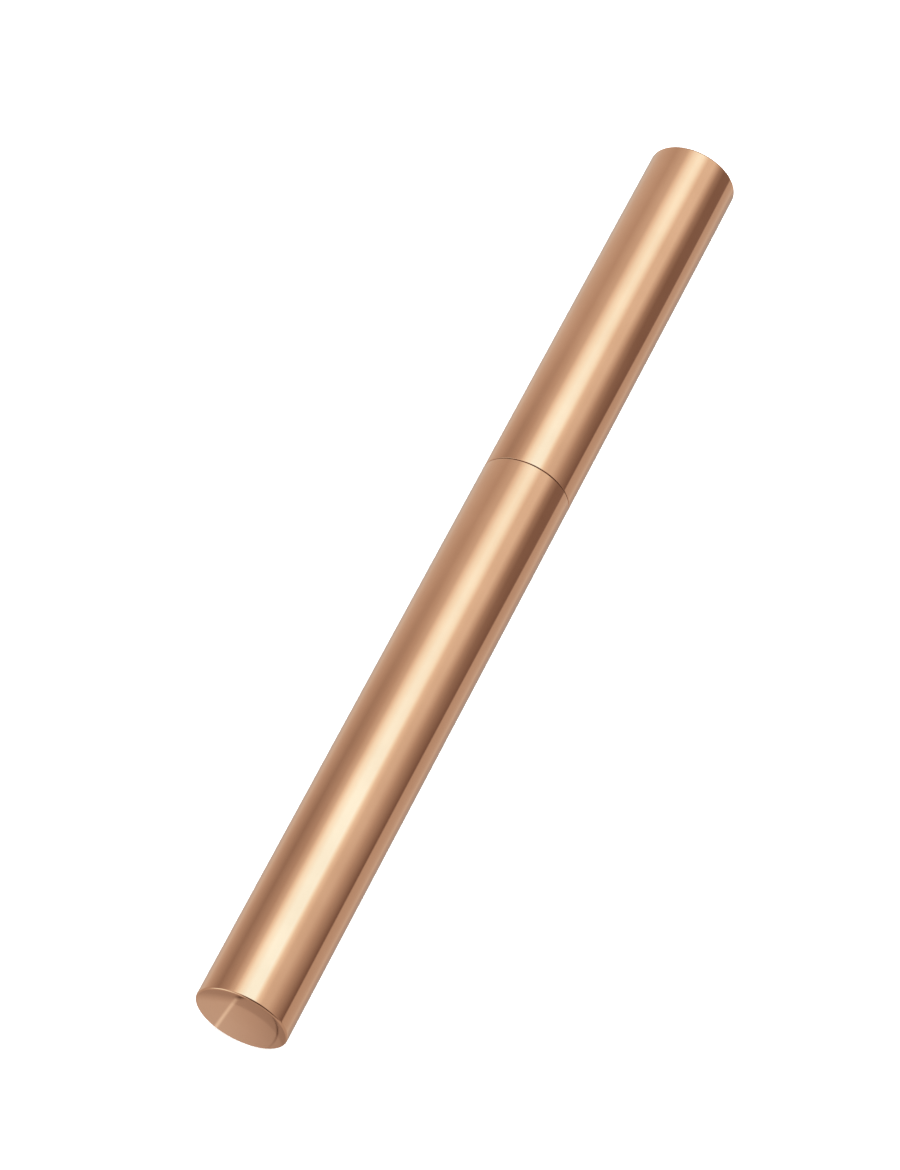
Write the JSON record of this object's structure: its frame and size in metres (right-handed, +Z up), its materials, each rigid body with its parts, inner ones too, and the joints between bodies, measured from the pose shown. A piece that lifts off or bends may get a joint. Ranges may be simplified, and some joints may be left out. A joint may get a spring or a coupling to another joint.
{
  "type": "lipstick case",
  "caption": "Slim cylindrical twist-up lipstick case in polished metal, closed and lying on its side, with a pull-off cap.",
  "frame": {"origin": "middle of the length and width, on the surface the closed case lies on", "axes": "+X along the case from the base's end to the cap's end, +Z up, +Y to the left of +X"},
  "size_m": [0.1208, 0.0104, 0.0105],
  "materials": {
    "case_metal": "polished rose-gold anodised",
    "collar_metal": "polished rose-gold anodised",
    "weight_steel": "turned steel",
    "sleeve_plastic": "moulded, dark",
    "mechanism_plastic": "moulded, natural white",
    "cup_plastic": "moulded, natural white",
    "ring_silicone": "soft silicone",
    "lipstick_wax": "satin wax, moulded"
  },
  "bodies": {
    "base": {"base_shell": "case_metal", "base_weight": "weight_steel", "base_sleeve": "sleeve_plastic", "slotted_tube": "mechanism_plastic", "friction_ring": "ring_silicone"},
    "collar": {"collar_shell": "collar_metal", "spiral_sleeve": "mechanism_plastic"},
    "cup": {"bullet_cup": "cup_plastic", "lipstick_bullet": "lipstick_wax"},
    "cap": {"cap_shell": "case_metal", "cap_liner": "sleeve_plastic", "cap_weight": "weight_steel"}
  },
  "joints": [
    {"name": "collar_twist", "type": "hinge", "parent": "base", "child": "collar", "pos_m": [0.0122, 0, 0.00525], "axis": [1, 0, 0], "range_deg": [0, 540]},
    {"name": "cup_lift", "type": "slide", "parent": "base", "child": "cup", "axis": [1, 0, 0], "range_m": [0, 0.02]},
    {"name": "cap_pull", "type": "slide", "parent": "collar", "child": "cap", "axis": [1, 0, 0], "range_m": [0, 0.045]}
  ],
  "couplings": [
    {"joint": "cup_lift", "follows": "collar_twist", "m_per_rad": 0.0021221}
  ]
}
